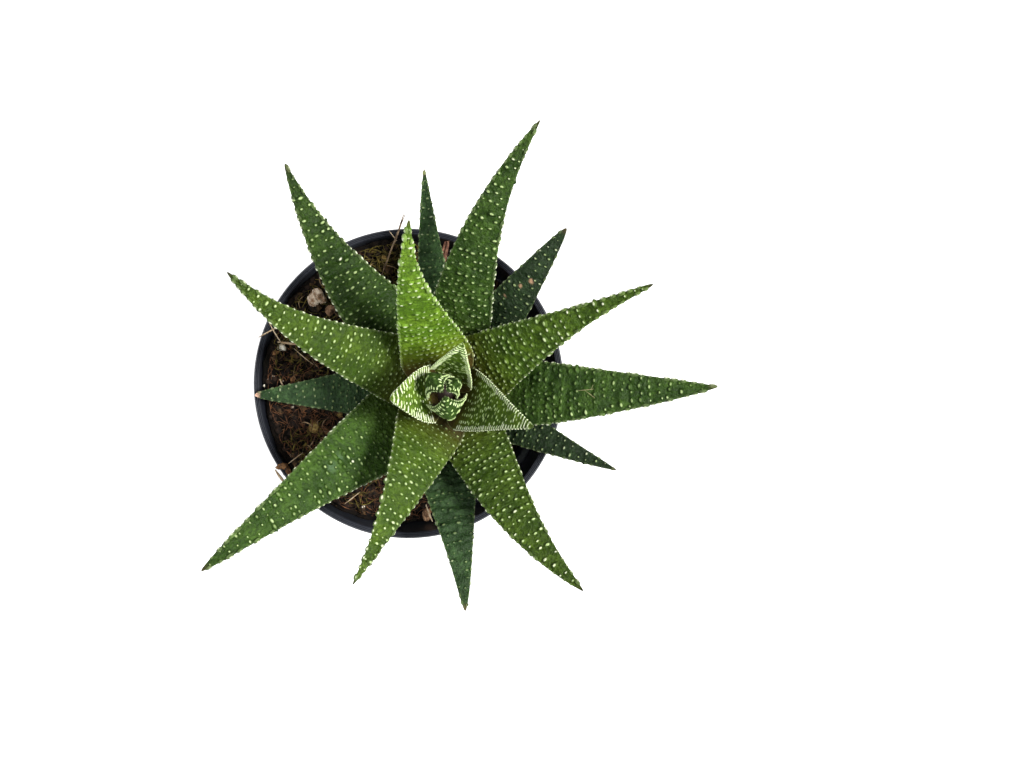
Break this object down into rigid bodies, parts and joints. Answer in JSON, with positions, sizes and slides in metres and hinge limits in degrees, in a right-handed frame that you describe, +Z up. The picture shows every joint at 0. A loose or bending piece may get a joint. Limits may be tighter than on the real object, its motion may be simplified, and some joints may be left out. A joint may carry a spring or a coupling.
{
  "type": "potted haworthia",
  "caption": "Rosette of keeled, pointed succulent leaves with pale raised dots, growing in soil in a small tapered nursery pot.",
  "frame": {"origin": "centre of the pot's underside, where it stands", "axes": "+Z up through the pot's mouth; +X to the right and +Y away when seen from above with the longest leaf pointing up and slightly right; the soil is high at -X"},
  "size_m": [0.1238, 0.118, 0.131],
  "materials": {
    "pot": "satin, thin moulded polypropylene",
    "soil": "matt, coarse peat and moss",
    "stem": "satin",
    "leaf_heart": "satin, dense white ridges",
    "leaf_inner": "satin, dense white ridges",
    "leaf_upper": "satin, pale raised dots",
    "leaf_middle": "satin, pale raised dots",
    "leaf_lower": "satin, sparse pale dots",
    "stone_pale": "matt, porous",
    "stone_brown": "matt, porous",
    "dead_plant": "matt, dry"
  },
  "bodies": {
    "root": {"pot": "pot", "soil": "soil", "stem": "stem", "heart_leaf_1": "leaf_heart", "heart_leaf_2": "leaf_heart", "heart_leaf_3": "leaf_heart", "inner_leaf_1": "leaf_inner", "inner_leaf_2": "leaf_inner", "inner_leaf_3": "leaf_inner", "upper_leaf_1": "leaf_upper", "upper_leaf_2": "leaf_upper", "upper_leaf_3": "leaf_upper", "upper_leaf_4": "leaf_upper", "upper_leaf_5": "leaf_upper", "middle_leaf_1": "leaf_middle", "middle_leaf_2": "leaf_middle", "middle_leaf_3": "leaf_middle", "middle_leaf_4": "leaf_middle", "lower_leaf_1": "leaf_lower", "lower_leaf_2": "leaf_lower", "lower_leaf_3": "leaf_lower", "lower_leaf_4": "leaf_lower", "lower_leaf_5": "leaf_lower", "stone_1": "stone_pale", "stone_2": "stone_brown", "stone_3": "stone_pale", "stone_4": "stone_brown", "dried_leaf": "dead_plant", "twig": "dead_plant"}
  },
  "joints": []
}
